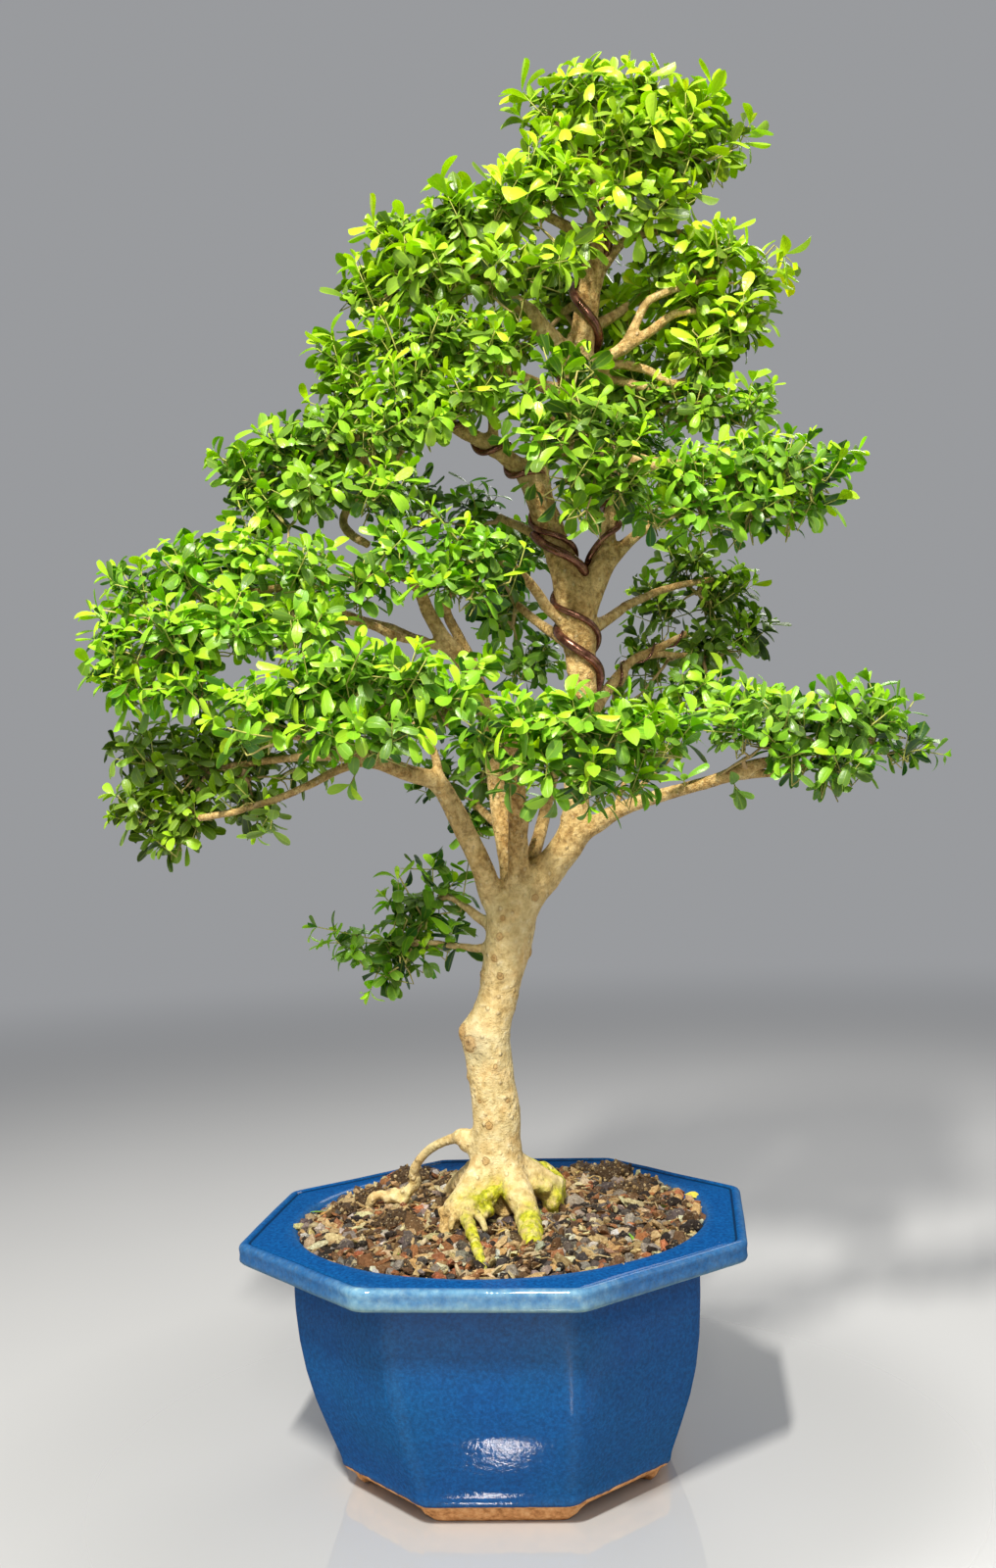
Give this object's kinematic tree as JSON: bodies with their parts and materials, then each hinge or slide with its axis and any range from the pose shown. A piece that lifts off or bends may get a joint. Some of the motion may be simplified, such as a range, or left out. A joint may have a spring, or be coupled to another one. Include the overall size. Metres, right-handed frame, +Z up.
{
  "type": "potted bonsai tree",
  "caption": "Boxwood bonsai with layered pads of small leaves on a branching trunk, wound with training wire, in an octagonal blue glazed pot with a broad rim.",
  "frame": {"origin": "on the ground, under the middle of the whole object's box; the pot's axis is 13 mm to the -X side of it", "axes": "+Z up the trunk; +X to the right and +Y away from the viewer as the picture shows the tree"},
  "size_m": [0.4445, 0.2656, 0.7441],
  "materials": {
    "glazed_stoneware": "gloss",
    "soil_mix": "matte",
    "mesh_plastic": "matte",
    "plain_wire": "satin",
    "anodised_wire": "satin",
    "bark": "matte",
    "leaves": "satin"
  },
  "bodies": {
    "root": {"pot": "glazed_stoneware", "soil": "soil_mix", "drain_mesh": "mesh_plastic", "drain_mesh_clip": "plain_wire", "anchor_wire": "plain_wire", "tree": "bark", "wire_trunk_heavy": "anodised_wire", "wire_top_heavy": "anodised_wire", "wire_left_branch": "anodised_wire", "wire_right_branch": "anodised_wire", "wire_back_twig": "anodised_wire", "foliage_apex": "leaves", "foliage_upper_left": "leaves", "foliage_upper_left_low": "leaves", "foliage_centre_upper": "leaves", "foliage_right_upper": "leaves", "foliage_right_middle": "leaves", "foliage_right_long": "leaves", "foliage_left_second": "leaves", "foliage_left_third": "leaves", "foliage_centre_small": "leaves", "foliage_left_front": "leaves", "foliage_centre_front": "leaves", "foliage_right_low": "leaves", "foliage_right_low_back": "leaves", "foliage_right_back": "leaves", "foliage_left_low_back": "leaves", "foliage_low_sprig": "leaves", "foliage_back_centre": "leaves", "foliage_back_low": "leaves", "foliage_back_upper": "leaves", "foliage_back_middle": "leaves", "foliage_back_left": "leaves", "foliage_back_left_low": "leaves", "foliage_left_second_back": "leaves", "foliage_upper_left_back": "leaves", "foliage_right_upper_back": "leaves", "foliage_right_long_back": "leaves"}
  },
  "joints": []
}
